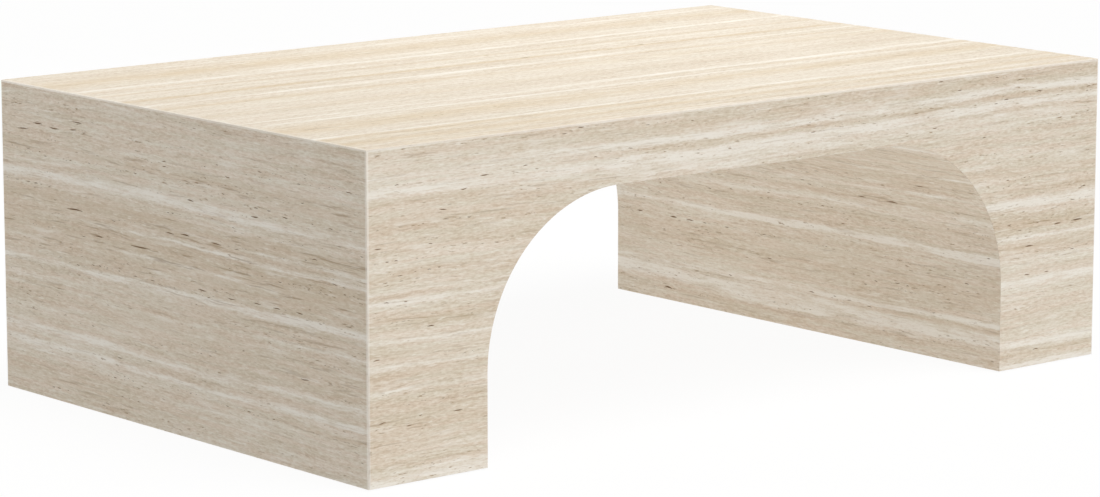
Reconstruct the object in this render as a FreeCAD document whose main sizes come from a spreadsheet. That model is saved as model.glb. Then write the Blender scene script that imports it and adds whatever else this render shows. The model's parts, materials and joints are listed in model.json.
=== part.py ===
import FreeCAD, Part
import math
import os
from enum import IntEnum

import Sketcher
from FreeCAD import Placement, Rotation, Vector

# Coffee table: a block clad in travertine slabs, with a wide arch cut through from front to back.
# The frame is X along the length, Y from front to back and Z up, with the floor at zero under the middle.
# The slabs are mitred at every outer edge and along the arch, and bonded to a hollow plywood carcass.

# Driving sizes in millimetres
SIZES = {
    # Outside form
    "table_length": 1220,
    "table_depth": 762,
    "table_height": 400,
    "leg_width": 178,
    "crown_thick": 80,
    "arch_radius": 205,
    "floor_gap": 2,
    # Stone
    "slab_thick": 12,
    "arris_radius": 3,
    "mitre_gap": 0.3,
    # Carcass
    "adhesive_bed": 0.3,
    "board_thick": 15,
    "skin_thick": 9,
    "glue_line": 0.2,
    "cleat_width": 20,
    "base_recess": 4,
    "tab_length": 60,
    "foot_tab_length": 50,
    "tab_end_inset": 95,
    "tab_fit": 0.2,
    # Feet
    "glide_width": 32,
    "glide_edge": 1.5,
    "glide_inset": 46,
    "glide_end_inset": 60,
    "glide_screw_sunk": 1,
    "screw_length": 16,
    "screw_shank": 4,
    "screw_head": 8,
    "screw_fit": 0.2,
    # How far a cutting shape runs past what it cuts
    "cut_overrun": 5,
}
LEG_COUNT = 2
RIB_COUNT = 4
TAB_COLUMNS = 4
GLIDE_COLUMNS = 2
GLIDE_ROWS = 2
HALF_TURN = 180
QUARTER_TURN = 90
FULL_TURN = 360
ALONG_Z = Vector(0, 0, 1)
ALONG_X = Vector(1, 0, 0)
FRONT = 0
BACK = HALF_TURN
LEFT = 0
RIGHT = HALF_TURN
# How near to a plane a face or edge lies on it
TOUCH = 1e-6


class Point(IntEnum):
    """How a sketch counts the points of an edge."""

    START = 1
    END = 2
    CENTRE = 3


class Size:
    """A length known both as a number and as a formula on the sheet."""

    def __init__(self, number, formula):
        self.number = number
        self.formula = formula

    def __add__(self, other):
        return Size(self.number + other.number, f"({self.formula} + {other.formula})")

    def __sub__(self, other):
        return Size(self.number - other.number, f"({self.formula} - {other.formula})")

    def __mul__(self, share):
        return Size(self.number * share, f"({self.formula} * {share})")

    def __truediv__(self, parts):
        return Size(self.number / parts, f"({self.formula} / {parts})")

    def __neg__(self):
        return Size(-self.number, f"(-{self.formula})")


ZERO = Size(0, "0")

doc = FreeCAD.newDocument("CoffeeTable")


def fill_sheet():
    """Puts the driving sizes on a sheet and gives them back as sizes."""
    sheet = doc.addObject("Spreadsheet::Sheet", "Sizes")
    found = {}
    for row, (name, number) in enumerate(SIZES.items(), start=1):
        sheet.set(f"A{row}", name)
        sheet.set(f"B{row}", str(number))
        sheet.setAlias(f"B{row}", name)
        found[name] = Size(number, f"Sizes.{name}")
    doc.recompute()
    return found


size = fill_sheet()

# Outside form
half_length = size["table_length"] / 2
half_depth = size["table_depth"] / 2
top = size["table_height"]
foot = size["floor_gap"]
slab = size["slab_thick"]
mitre_gap = size["mitre_gap"]
arch_radius = size["arch_radius"]
arch_half_width = half_length - size["leg_width"]
crown = top - size["crown_thick"]
spring = crown - arch_radius
flat_half = arch_half_width - arch_radius
leg_centre = half_length - size["leg_width"] / 2

# Carcass inside the stone
bed = size["adhesive_bed"]
board = size["board_thick"]
glue = size["glue_line"]
carcass_half_length = half_length - slab - bed
carcass_half_depth = half_depth - slab - bed
carcass_top = top - slab - bed
base_bottom = foot + size["base_recess"]
base_top = base_bottom + board
rib_foot = base_top + glue
rib_top = carcass_top - board - glue
skin_face = arch_radius + slab + bed
skin_back = skin_face + size["skin_thick"]
rib_radius = skin_back + glue
end_board_face = carcass_half_length - board
rib_row = carcass_half_depth - board / 2
rib_spacing = rib_row * 2 / (RIB_COUNT - 1)
rib_web = rib_top - (spring + rib_radius)
tab_half = size["tab_length"] / 2
foot_tab_half = size["foot_tab_length"] / 2
tab_column = half_length - size["tab_end_inset"]

# Feet and their screws
glide_thick = size["base_recess"] + foot
shank = size["screw_shank"] / 2
head = size["screw_head"] / 2
fit = size["screw_fit"]
glide_half_row = half_depth - size["glide_end_inset"]
glide_half_step = size["leg_width"] / 2 - size["glide_inset"]


def bind(item, name, length):
    """Ties one size of an object to its formula on the sheet."""
    item.setExpression(name, length.formula)


def place(item, x=ZERO, y=ZERO, z=ZERO, turn=0, axis=ALONG_Z):
    """Turns an object about an axis through its origin and moves it there."""
    item.Placement = Placement(Vector(x.number, y.number, z.number), Rotation(axis, turn))
    for name, length in (("x", x), ("y", y), ("z", z)):
        bind(item, f"Placement.Base.{name}", length)


def new_body(label):
    body = doc.addObject("PartDesign::Body", label)
    body.Label = label
    return body


def origin_item(body, role):
    """A body's own origin plane or axis."""
    return next(item for item in body.Origin.OriginFeatures if item.Role == role)


def new_sketch(body, role, offset=ZERO):
    """A sketch on a body's own origin plane, moved along its normal."""
    sketch = body.newObject("Sketcher::SketchObject", f"{body.Name}_sketch")
    sketch.AttachmentSupport = [(origin_item(body, role), "")]
    sketch.MapMode = "FlatFace"
    sketch.AttachmentOffset = Placement(Vector(0, 0, offset.number), Rotation())
    bind(sketch, "AttachmentOffset.Base.z", offset)
    return sketch


def constrain(sketch, dimensions):
    """Adds dimensions, each a kind, what it measures and the size that it follows."""
    rules = [Sketcher.Constraint(kind, *where, length.number) for kind, where, length in dimensions]
    numbers = sketch.addConstraint(rules)
    for number, (kind, where, length) in zip(numbers, dimensions):
        bind(sketch, f"Constraints[{number}]", length)


def end_at(sketch, edge, point):
    """Which end of an edge lies at a point."""
    start = sketch.Geometry[edge].StartPoint
    return Point.START if start.distanceToPoint(point) < TOUCH else Point.END


def short_arc(start, end, centre, radius):
    """The shorter arc about a centre between two points, anticlockwise as a sketch wants it."""
    circle = Part.Circle(centre, ALONG_Z, radius)
    first = circle.parameter(start)
    last = circle.parameter(end)
    if (last - first) % math.tau > math.pi:
        first, last = last, first
    return Part.ArcOfCircle(circle, first, last)


def draw_outline(sketch, corners, arcs=None):
    """Closes an outline through corners. An arc leaves the corner whose number has a centre."""
    arcs = arcs or {}
    first = len(sketch.Geometry)
    points = [Vector(x.number, y.number, 0) for x, y in corners]
    count = len(points)
    for i, start in enumerate(points):
        end = points[(i + 1) % count]
        if i in arcs:
            x, y, radius = arcs[i]
            edge = short_arc(start, end, Vector(x.number, y.number, 0), radius.number)
        else:
            edge = Part.LineSegment(start, end)
        sketch.addGeometry(edge, False)
    joins = []
    dimensions = []
    for i, (x, y) in enumerate(corners):
        edge = first + i
        before = first + (i - 1) % count
        here = end_at(sketch, edge, points[i])
        there = end_at(sketch, before, points[i])
        joins.append(Sketcher.Constraint("Coincident", before, there, edge, here))
        dimensions.append(("DistanceX", (edge, here), x))
        dimensions.append(("DistanceY", (edge, here), y))
        if i in arcs:
            dimensions.append(("Radius", (edge,), arcs[i][2]))
    sketch.addConstraint(joins)
    constrain(sketch, dimensions)


def draw_circle(sketch, x, y, radius):
    centre = Vector(x.number, y.number, 0)
    edge = sketch.addGeometry(Part.Circle(centre, ALONG_Z, radius.number), False)
    middle = (edge, Point.CENTRE)
    dimensions = [("DistanceX", middle, x), ("DistanceY", middle, y), ("Radius", (edge,), radius)]
    constrain(sketch, dimensions)


def rectangle(left, right, low, high):
    return [(left, low), (right, low), (right, high), (left, high)]


def arch_corners(half_width, low, high, radius):
    """The outline of an upside-down U round the arch, and its two quarter arcs."""
    side = flat_half + radius
    corners = [
        (-half_width, low),
        (-half_width, high),
        (half_width, high),
        (half_width, low),
        (side, low),
        (side, spring),
        (flat_half, spring + radius),
        (-flat_half, spring + radius),
        (-side, spring),
        (-side, low),
    ]
    arcs = {5: (flat_half, spring, radius), 7: (-flat_half, spring, radius)}
    return corners, arcs


def opening_corners(low, radius):
    """The outline of the arch opening itself, and its two quarter arcs."""
    side = flat_half + radius
    corners = [
        (-side, low),
        (-side, spring),
        (-flat_half, spring + radius),
        (flat_half, spring + radius),
        (side, spring),
        (side, low),
    ]
    arcs = {1: (-flat_half, spring, radius), 3: (flat_half, spring, radius)}
    return corners, arcs


def pad(body, sketch, length, backwards=False, centred=False):
    feature = body.newObject("PartDesign::Pad", f"{body.Name}_pad")
    feature.Profile = sketch
    feature.Reversed = backwards
    feature.Midplane = centred
    bind(feature, "Length", length)
    doc.recompute()
    return feature


def pocket(body, sketch, depth, backwards=False):
    feature = body.newObject("PartDesign::Pocket", f"{body.Name}_pocket")
    feature.Profile = sketch
    feature.Reversed = backwards
    bind(feature, "Length", depth)
    doc.recompute()
    return feature


def revolve(body, sketch, angle):
    """Turns a profile about its sketch's upright axis."""
    feature = body.newObject("PartDesign::Revolution", f"{body.Name}_turn")
    feature.Profile = sketch
    feature.ReferenceAxis = (sketch, ["V_Axis"])
    feature.Angle = angle
    doc.recompute()
    return feature


def linear_pattern(body, axis, length, count):
    pattern = body.newObject("PartDesign::LinearPattern", f"{body.Name}_row")
    pattern.Direction = (origin_item(body, axis), [""])
    pattern.Occurrences = count
    bind(pattern, "Length", length)
    return pattern


def repeat(body, feature, *patterns):
    """Copies a feature in each of the body's patterns in turn."""
    places = body.newObject("PartDesign::MultiTransform", f"{body.Name}_places")
    places.Originals = [feature]
    places.Transformations = [linear_pattern(body, *pattern) for pattern in patterns]
    body.Tip = places
    doc.recompute()


def make_dressed_block():
    """The whole block as the mason eases it: its arrises run on over the mitres."""
    body = new_body("dressed_block")
    sketch = new_sketch(body, "XY_Plane", foot)
    draw_outline(sketch, rectangle(-half_length, half_length, -half_depth, half_depth))
    block = pad(body, sketch, top - foot)
    names = []
    for number, edge in enumerate(block.Shape.Edges, start=1):
        box = edge.BoundBox
        if box.ZMax - box.ZMin > TOUCH or box.ZMin > foot.number + TOUCH:
            names.append(f"Edge{number}")
    ease = body.newObject("PartDesign::Fillet", "dressed_block_arris")
    ease.Base = (block, names)
    bind(ease, "Radius", size["arris_radius"])
    doc.recompute()
    return body


def mitred_blank(label, half_width, low, high, low_mitre):
    """A slab with its outer face at zero depth, mitred inwards at its sides and head."""
    blank = doc.addObject("Part::Wedge", f"{label}_blank")
    bind(blank, "Xmin", -half_width)
    bind(blank, "Xmax", half_width)
    bind(blank, "X2min", -(half_width - slab))
    bind(blank, "X2max", half_width - slab)
    bind(blank, "Ymin", ZERO)
    bind(blank, "Ymax", slab)
    bind(blank, "Zmin", low)
    bind(blank, "Zmax", high)
    bind(blank, "Z2min", low + low_mitre)
    bind(blank, "Z2max", high - slab)
    return blank


def boolean(kind, label, base, tool):
    feature = doc.addObject(f"Part::{kind}", label)
    feature.Label = label
    feature.Base = base
    feature.Tool = tool
    return feature


def make_top_slab(block):
    blank = mitred_blank("top_slab", half_length, -half_depth, half_depth, slab)
    place(blank, z=top, turn=-QUARTER_TURN, axis=ALONG_X)
    return boolean("Common", "top_slab", blank, block)


def make_end_slab(label, turn, block):
    blank = mitred_blank(label, half_depth, foot, top - mitre_gap, ZERO)
    side = -half_length if turn == LEFT else half_length
    place(blank, x=side, turn=turn - QUARTER_TURN)
    return boolean("Common", label, blank, block)


def arch_plug(label, turn):
    """What the lining leaves no room for in a fascia: the opening, widening inwards at 45 degrees."""
    body = new_body(f"{label}_plug")
    sketch = new_sketch(body, "XZ_Plane", half_depth)
    radius = arch_radius + mitre_gap + slab
    corners, arcs = opening_corners(foot - size["cut_overrun"], radius)
    draw_outline(sketch, corners, arcs)
    solid = pad(body, sketch, slab + size["cut_overrun"], backwards=True)
    names = []
    for number, edge in enumerate(solid.Shape.Edges, start=1):
        box = edge.BoundBox
        on_face = box.YMax < -half_depth.number + TOUCH
        if on_face and box.ZMax > foot.number:
            names.append(f"Edge{number}")
    mitre = body.newObject("PartDesign::Chamfer", f"{label}_plug_mitre")
    mitre.Base = (solid, names)
    bind(mitre, "Size", slab)
    doc.recompute()
    place(body, turn=turn)
    return body


def make_fascia(label, turn, block):
    blank = mitred_blank(label, half_length - mitre_gap, foot, top - mitre_gap, ZERO)
    face = -half_depth if turn == FRONT else half_depth
    place(blank, y=face, turn=turn)
    dressed = boolean("Common", f"{label}_dressed", blank, block)
    return boolean("Cut", label, dressed, arch_plug(label, turn))


def lining_profile(face):
    """The section of a lining slab outwards from its face, mitred at the front and back."""
    back = face + slab
    return [
        (face, -half_depth),
        (face, half_depth),
        (back, half_depth - slab),
        (back, slab - half_depth),
    ]


def left_of_axis(profile):
    return [(-out, across) for out, across in profile]


def make_soffit_slab():
    body = new_body("soffit_slab")
    sketch = new_sketch(body, "YZ_Plane")
    draw_outline(sketch, [(across, up) for up, across in lining_profile(crown)])
    pad(body, sketch, (flat_half - mitre_gap) * 2, centred=True)
    return body


def make_arch_curve(label, turn):
    """A quarter-round lining slab, turned from the springing up to the crown."""
    body = new_body(label)
    sketch = new_sketch(body, "XY_Plane")
    draw_outline(sketch, left_of_axis(lining_profile(arch_radius)))
    revolve(body, sketch, QUARTER_TURN)
    side = -flat_half if turn == LEFT else flat_half
    place(body, x=side, z=spring, turn=turn)
    return body


def make_leg_liner(label, turn):
    body = new_body(label)
    sketch = new_sketch(body, "XY_Plane", foot)
    draw_outline(sketch, left_of_axis(lining_profile(arch_half_width)))
    pad(body, sketch, spring - mitre_gap - foot)
    place(body, turn=turn)
    return body


def make_box(label, x, y, z):
    """A plain board between a low and a high value on each axis."""
    box = doc.addObject("Part::Box", label)
    box.Label = label
    for name, (low, high) in (("Length", x), ("Width", y), ("Height", z)):
        bind(box, name, high - low)
    place(box, x=x[0], y=y[0], z=z[0])
    return box


def tab_columns():
    step = tab_column * 2 / (TAB_COLUMNS - 1)
    return [step * column - tab_column for column in range(TAB_COLUMNS)]


def cut_slots(body, face, columns, half_slot, backwards=False):
    """Cuts a slot for every rib's tabs. Those of the outer ribs are open at the edge of the board."""
    spots = new_sketch(body, "XY_Plane", face)
    reach = board / 2 + size["tab_fit"]
    low = -rib_row - reach
    high = -rib_row + reach
    for column in columns:
        draw_outline(spots, rectangle(column - half_slot, column + half_slot, low, high))
    slots = pocket(body, spots, board, backwards)
    repeat(body, slots, ("Y_Axis", rib_row * 2, RIB_COUNT))


def make_top_board():
    body = new_body("top_board")
    plan = new_sketch(body, "XY_Plane", carcass_top)
    depth = carcass_half_depth
    draw_outline(plan, rectangle(-carcass_half_length, carcass_half_length, -depth, depth))
    pad(body, plan, board, backwards=True)
    cut_slots(body, carcass_top, tab_columns(), tab_half + size["tab_fit"])
    return body


def make_rib(label, row, half_width):
    """An upside-down U of plywood round the arch, with tabs at its head and feet."""
    body = new_body(label)
    sketch = new_sketch(body, "XZ_Plane")
    corners, arcs = arch_corners(half_width, rib_foot, rib_top, rib_radius)
    draw_outline(sketch, corners, arcs)
    pad(body, sketch, board, centred=True)
    tabs = new_sketch(body, "XZ_Plane")
    low = rib_top - rib_web / 2
    high = carcass_top - glue
    for column in tab_columns():
        draw_outline(tabs, rectangle(column - tab_half, column + tab_half, low, high))
    low = base_bottom + glue
    high = rib_foot + board
    for column in (-leg_centre, leg_centre):
        left = column - foot_tab_half
        right = column + foot_tab_half
        draw_outline(tabs, rectangle(left, right, low, high))
    pad(body, tabs, board, centred=True)
    place(body, y=row)
    return body


def side_range(side, near, far):
    """A stretch from near to far out from the middle, on the left or right side."""
    return (-far, -near) if side == LEFT else (near, far)


def make_end_board(label, side):
    x = side_range(side, end_board_face, carcass_half_length)
    reach = carcass_half_depth - board - glue
    return make_box(label, x, (-reach, reach), (rib_foot, rib_top))


def make_leg_board(label, side):
    x = side_range(side, flat_half + skin_face, flat_half + skin_back)
    y = (-carcass_half_depth, carcass_half_depth)
    return make_box(label, x, y, (rib_foot, spring - glue))


def make_soffit_board():
    half_width = flat_half - glue
    z = (spring + skin_face, spring + skin_back)
    y = (-carcass_half_depth, carcass_half_depth)
    return make_box("soffit_board", (-half_width, half_width), y, z)


def make_curve_board(label, turn):
    """Bent plywood behind a quarter-round lining slab."""
    body = new_body(label)
    sketch = new_sketch(body, "XY_Plane")
    near = -skin_face
    far = -skin_back
    reach = carcass_half_depth
    draw_outline(sketch, rectangle(far, near, -reach, reach))
    revolve(body, sketch, QUARTER_TURN)
    side = -flat_half if turn == LEFT else flat_half
    place(body, x=side, z=spring, turn=turn)
    return body


def make_base_board(label, side):
    """The plate under a leg, slotted for the ribs' feet and bored for the glide screws."""
    body = new_body(label)
    half_width = size["leg_width"] / 2 - slab - bed
    plan = new_sketch(body, "XY_Plane", base_bottom)
    depth = carcass_half_depth
    draw_outline(plan, rectangle(-half_width, half_width, -depth, depth))
    pad(body, plan, board)
    cut_slots(body, base_bottom, [ZERO], foot_tab_half + size["tab_fit"], backwards=True)
    spots = new_sketch(body, "XY_Plane", base_bottom)
    for x in (-glide_half_step, glide_half_step):
        for y in (-glide_half_row, glide_half_row):
            draw_circle(spots, x, y, shank + fit)
    pocket(body, spots, board, backwards=True)
    place(body, x=-leg_centre if side == LEFT else leg_centre)
    return body


def make_leg_cleats(label, turn):
    """Upright battens that hold the end board to each rib, a pair in each bay of a leg."""
    body = new_body(label)
    sketch = new_sketch(body, "XY_Plane", rib_foot)
    width = size["cleat_width"]
    far = -end_board_face + glue
    near = far + width
    low = -rib_row + board / 2 + glue
    high = -rib_row + rib_spacing - board / 2 - glue
    for start, end in ((low, low + width), (high - width, high)):
        draw_outline(sketch, rectangle(far, near, start, end))
    cleat = pad(body, sketch, rib_top - rib_foot)
    repeat(body, cleat, ("Y_Axis", rib_spacing * (RIB_COUNT - 2), RIB_COUNT - 1))
    place(body, turn=turn)
    return body


def glide_places():
    """The rows and columns of the glides, from the first one in the left leg."""
    within_leg = ("X_Axis", glide_half_step * 2, GLIDE_COLUMNS)
    leg_to_leg = ("X_Axis", leg_centre * 2, LEG_COUNT)
    across = ("Y_Axis", glide_half_row * 2, GLIDE_ROWS)
    return within_leg, leg_to_leg, across


def make_floor_glides():
    """Plastic discs in the recess under each base board, with a countersunk hole."""
    body = new_body("floor_glides")
    sketch = new_sketch(body, "XZ_Plane")
    rim = size["glide_width"] / 2
    edge = size["glide_edge"]
    bore = shank + fit
    mouth = head + fit + size["glide_screw_sunk"]
    profile = [
        (mouth, ZERO),
        (rim - edge, ZERO),
        (rim, edge),
        (rim, glide_thick),
        (bore, glide_thick),
        (bore, mouth - bore),
    ]
    draw_outline(sketch, profile)
    glide = revolve(body, sketch, FULL_TURN)
    repeat(body, glide, *glide_places())
    place(body, x=-(leg_centre + glide_half_step), y=-glide_half_row)
    return body


def make_glide_screws():
    """Countersunk screws up through the glides into the base boards."""
    body = new_body("glide_screws")
    sketch = new_sketch(body, "XZ_Plane")
    length = size["screw_length"]
    profile = [
        (ZERO, ZERO),
        (head, ZERO),
        (shank, shank - head),
        (shank, -length),
        (ZERO, -length),
    ]
    draw_outline(sketch, profile)
    screw = revolve(body, sketch, FULL_TURN)
    repeat(body, screw, *glide_places())
    x = -(leg_centre + glide_half_step)
    z = size["glide_screw_sunk"]
    place(body, x=x, y=glide_half_row, z=z, turn=HALF_TURN, axis=ALONG_X)
    return body


def make_stone():
    block = make_dressed_block()
    return [
        make_top_slab(block),
        make_fascia("front_fascia", FRONT, block),
        make_fascia("back_fascia", BACK, block),
        make_end_slab("left_end_slab", LEFT, block),
        make_end_slab("right_end_slab", RIGHT, block),
        make_soffit_slab(),
        make_arch_curve("left_arch_curve", LEFT),
        make_arch_curve("right_arch_curve", RIGHT),
        make_leg_liner("left_leg_liner", LEFT),
        make_leg_liner("right_leg_liner", RIGHT),
    ]


def make_ribs():
    """Four ribs: the outer two span the carcass, the inner two stop at the end boards."""
    inner_half_width = end_board_face - glue
    labels = ("front_rib", "front_inner_rib", "back_inner_rib", "back_rib")
    ribs = []
    for place_number, label in enumerate(labels):
        row = rib_spacing * place_number - rib_row
        half_width = inner_half_width if "inner" in label else carcass_half_length
        ribs.append(make_rib(label, row, half_width))
    return ribs


def make_carcass():
    pieces = [make_top_board(), make_soffit_board()]
    pieces += make_ribs()
    for name, side in (("left", LEFT), ("right", RIGHT)):
        pieces.append(make_end_board(f"{name}_end_board", side))
        pieces.append(make_curve_board(f"{name}_curve_board", side))
        pieces.append(make_leg_board(f"{name}_leg_board", side))
        pieces.append(make_base_board(f"{name}_base_board", side))
        pieces.append(make_leg_cleats(f"{name}_leg_cleats", side))
    return pieces


def check_document():
    """Stops on any object that failed, and on any cut that took nothing away."""
    for item in doc.Objects:
        if "Invalid" in item.State or "Error" in item.State:
            raise RuntimeError(f"{item.Label} failed")
        if item.TypeId in ("PartDesign::Pocket", "PartDesign::Chamfer"):
            if not item.Shape.Volume < item.BaseFeature.Shape.Volume - TOUCH:
                raise RuntimeError(f"{item.Label} takes nothing away")


def write_parts(pieces):
    os.makedirs("parts", exist_ok=True)
    for piece in pieces:
        shape = piece.Shape
        if shape.isNull() or not shape.isValid():
            raise RuntimeError(f"{piece.Label} has no valid shape")
        shape.exportStep(f"parts/{piece.Label}.step")
        print(f"{piece.Label}: {len(shape.Solids)} solids, {shape.Volume:.0f} cubic mm")


pieces = make_stone() + make_carcass() + [make_floor_glides(), make_glide_screws()]
doc.recompute()
check_document()
write_parts(pieces)
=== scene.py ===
import json
import math

import bpy
import numpy as np
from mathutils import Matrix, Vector
from mathutils.geometry import delaunay_2d_cdt


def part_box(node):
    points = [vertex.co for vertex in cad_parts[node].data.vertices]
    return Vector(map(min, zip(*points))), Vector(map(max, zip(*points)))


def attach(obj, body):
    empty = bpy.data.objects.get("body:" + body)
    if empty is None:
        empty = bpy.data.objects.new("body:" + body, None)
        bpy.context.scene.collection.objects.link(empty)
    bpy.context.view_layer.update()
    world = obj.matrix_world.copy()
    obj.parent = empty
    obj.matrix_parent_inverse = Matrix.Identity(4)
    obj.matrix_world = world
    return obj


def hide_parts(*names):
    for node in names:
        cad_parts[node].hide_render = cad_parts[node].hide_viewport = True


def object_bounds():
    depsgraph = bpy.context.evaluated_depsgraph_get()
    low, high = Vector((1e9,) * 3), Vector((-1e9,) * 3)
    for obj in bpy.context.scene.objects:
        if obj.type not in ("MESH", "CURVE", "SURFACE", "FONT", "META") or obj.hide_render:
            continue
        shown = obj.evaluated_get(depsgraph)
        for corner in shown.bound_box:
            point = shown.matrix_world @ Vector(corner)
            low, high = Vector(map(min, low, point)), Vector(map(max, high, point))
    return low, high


# A coffee table clad in vein-cut travertine, with a wide arch cut through from front to back.
# Each slab is a closed mesh with eased edges and sunken pits, and its grain lies the way the slab was cut.
# On each face "along" runs with the veins and "across" runs over them, both in metres.

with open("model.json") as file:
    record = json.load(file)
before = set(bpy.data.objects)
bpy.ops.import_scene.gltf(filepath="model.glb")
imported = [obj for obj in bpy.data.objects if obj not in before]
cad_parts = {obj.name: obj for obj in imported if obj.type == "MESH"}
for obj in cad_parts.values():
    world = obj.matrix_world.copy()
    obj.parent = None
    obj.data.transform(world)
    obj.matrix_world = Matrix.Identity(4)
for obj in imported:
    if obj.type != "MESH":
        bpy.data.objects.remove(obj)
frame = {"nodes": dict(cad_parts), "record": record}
cad_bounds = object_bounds()

MM = 0.001
# Numbers nearer than this count as equal
NEAR = MM * MM
MERGE_WITHIN = 1e-9
DEPTH_DIGITS = 8
# Keeps the Delaunay function's triangles inside the outline
INSIDE = 1

# Sizes taken from the frame
_, table_high = cad_bounds
soffit_low, soffit_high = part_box("soffit_slab")
curve_low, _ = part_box("right_arch_curve")
liner_low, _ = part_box("right_leg_liner")
half_length = table_high.x
half_depth = table_high.y
table_height = table_high.z
crown = soffit_low.z
slab = soffit_high.z - soffit_low.z
spring = curve_low.z
flat_half = curve_low.x
arch_half_width = liner_low.x
arch_radius = crown - spring
floor_gap = liner_low.z

# The lining runs up the right leg, over the crown and down the left leg
quarter_length = arch_radius * math.pi / 2
curve_start = spring
crown_start = curve_start + quarter_length
crown_end = crown_start + 2 * flat_half
curve_end = crown_end + quarter_length
lining_end = curve_end + spring

# Edges of a slab, each with its rounding
ARRIS = "arris"
ARCH_EDGE = "arch_edge"
FOOT = "foot"
BUTT = "butt"
EDGE_RADIUS = {ARRIS: 3 * MM, ARCH_EDGE: 0.6 * MM, FOOT: 0.6 * MM, BUTT: 0}
MITRED = (ARRIS, ARCH_EDGE)
SEAM = 0.02 * MM
ARC_STEPS = 12
CURVE_STEPS = 60

# Which part of a slab a triangle belongs to, and the mark of a point outside all pits
SURFACE, PIT, ROUND, SIDE, BACK = range(5)
NO_PIT = -1

# How a slab's map is shared out, for a texture made from its materials
MAP_NAME = "OFBake"
MAP_FRONT_SHARE = 0.94
MAP_SIDE_SHARE = 0.12
MAP_MARGIN_SHARE = 0.004


def edge_inset(kind, depth):
    """How far a slab's edge lies inside its outline at some depth under the face."""
    radius = EDGE_RADIUS[kind]
    left = max(radius - depth, 0)
    rounded = radius - math.sqrt(radius * radius - left * left)
    if kind in MITRED:
        return max(rounded, depth) + SEAM
    if kind == BUTT:
        return SEAM
    return rounded


def rounded_depth(kind):
    """How deep the rounding runs: a mitred edge meets its neighbour half way round."""
    radius = EDGE_RADIUS[kind]
    return radius * (1 - math.sqrt(0.5)) if kind in MITRED else radius


def level_depths():
    """The depths at which the edges have points, from the face to the back of the slab."""
    deepest = rounded_depth(ARRIS) + NEAR
    depths = set()
    for radius in (EDGE_RADIUS[ARRIS], EDGE_RADIUS[FOOT]):
        for step in range(ARC_STEPS + 1):
            depth = radius * (1 - math.cos(math.pi / 2 * step / ARC_STEPS))
            if depth <= deepest:
                depths.add(round(depth, DEPTH_DIGITS))
    return sorted(depths) + [slab]


LEVELS = level_depths()


def inset_outline(points, insets):
    """The outline moved inwards, each edge by its own distance."""
    ahead = np.roll(points, -1, axis=0) - points
    ahead /= np.linalg.norm(ahead, axis=1)[:, None]
    inward = np.stack([-ahead[:, 1], ahead[:, 0]], 1)
    before = np.roll(inward, 1, axis=0)
    own = np.array(insets)
    other = np.roll(own, 1)
    cosine = (inward * before).sum(1)
    spread = 1 - cosine * cosine
    straight = spread < NEAR
    spread[straight] = 1
    moved = inward * (own - other * cosine)[:, None] + before * (other - own * cosine)[:, None]
    moved /= spread[:, None]
    moved[straight] = inward[straight] * own[straight, None]
    return points + moved


# How finely a pit is drawn, as (longest in millimetres, points, bow as a share of its width)
PIT_DETAIL = [(2.6, 8, 0), (6, 12, 0.15), (12, 24, 0.35), (99, 48, 0.5)]
# The rings of a pit, as (share of its size, share of its depth, darkness)
PIT_RINGS = [(1, 0, 0), (0.72, 0.6, 0.6), (0.38, 1, 1)]
WIDEST_BOWED = 1.1 * MM
DEEPEST_PIT = 0.8 * MM
PIT_DEPTH_SHARES = (0.22, 0.4)
PIT_TURN = 0.03
# A pit's rim swells and its middle line sways by waves of these numbers
SWELL_WAVES = (2, 3, 5)
SWELL_SHARES = (0.02, 0.09)
POINTED = 0.3
SWAY_WAVE = 6
KINK_WAVE = 11
MOST_KINK_SHARE = 0.4
# How much room two pits keep, as shares of their sizes added up
ALONG_ROOM_SHARE = 0.64
ACROSS_ROOM_SHARE = 1.6
LENGTH_ROOM_SHARE = 0.06


class Pits:
    """The sunken pits of one face, long along the veins and on flat faces a little bowed."""

    def __init__(self, face, panel):
        self.random = np.random.default_rng(sum(ord(letter) for letter in face))
        self.panel = panel
        self.rows = []

    def crowded(self, along, across, long, wide):
        """Whether another pit lies too near."""
        for at, over, other_long, other_wide in self.rows:
            near_along = abs(along - at) < (long + other_long) * ALONG_ROOM_SHARE
            room = (wide + other_wide) * ACROSS_ROOM_SHARE + max(long, other_long) * LENGTH_ROOM_SHARE
            if near_along and abs(across - over) < room:
                return True
        return False

    def add(self, along, across, long, wide):
        if clear_of_edges(self.panel, along, across, long) and not self.crowded(along, across, long, wide):
            self.rows.append((along, across, long, wide))

    def rings(self, along, across, long, wide):
        """The rim and inner rings of a pit, with the depth of each point and how dark it is."""
        random = self.random
        count, most_bow = next(row[1:] for row in PIT_DETAIL if long < row[0] * MM)
        turn = random.normal(0, PIT_TURN)
        phase = random.uniform(0, 2 * math.pi, len(SWELL_WAVES))
        kink = random.uniform(0, MOST_KINK_SHARE)
        swell = random.uniform(*SWELL_SHARES, len(SWELL_WAVES))
        sunk = min(wide * random.uniform(*PIT_DEPTH_SHARES), DEEPEST_PIT)
        bow = random.uniform(-most_bow, most_bow) * min(wide, WIDEST_BOWED) * (not self.panel.bends)
        found = []
        angles = np.arange(count) * 2 * math.pi / count
        swelled = 1 + sum(s * np.cos(k * angles + p) for k, s, p in zip(SWELL_WAVES, swell, phase))
        pointed = np.sin(angles) * np.abs(np.sin(angles)) ** POINTED
        for share, deep, dark in PIT_RINGS:
            reach = share * swelled
            x = long / 2 * reach * np.cos(angles)
            sway = np.sin(SWAY_WAVE * x / long + phase[0]) + kink * np.sin(KINK_WAVE * x / long + phase[1])
            y = wide / 2 * reach * pointed + bow * sway
            u = along + x * math.cos(turn) - y * math.sin(turn)
            v = across + x * math.sin(turn) + y * math.cos(turn)
            found.append((np.stack([u, v], 1), sunk * deep, dark))
        return found


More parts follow.
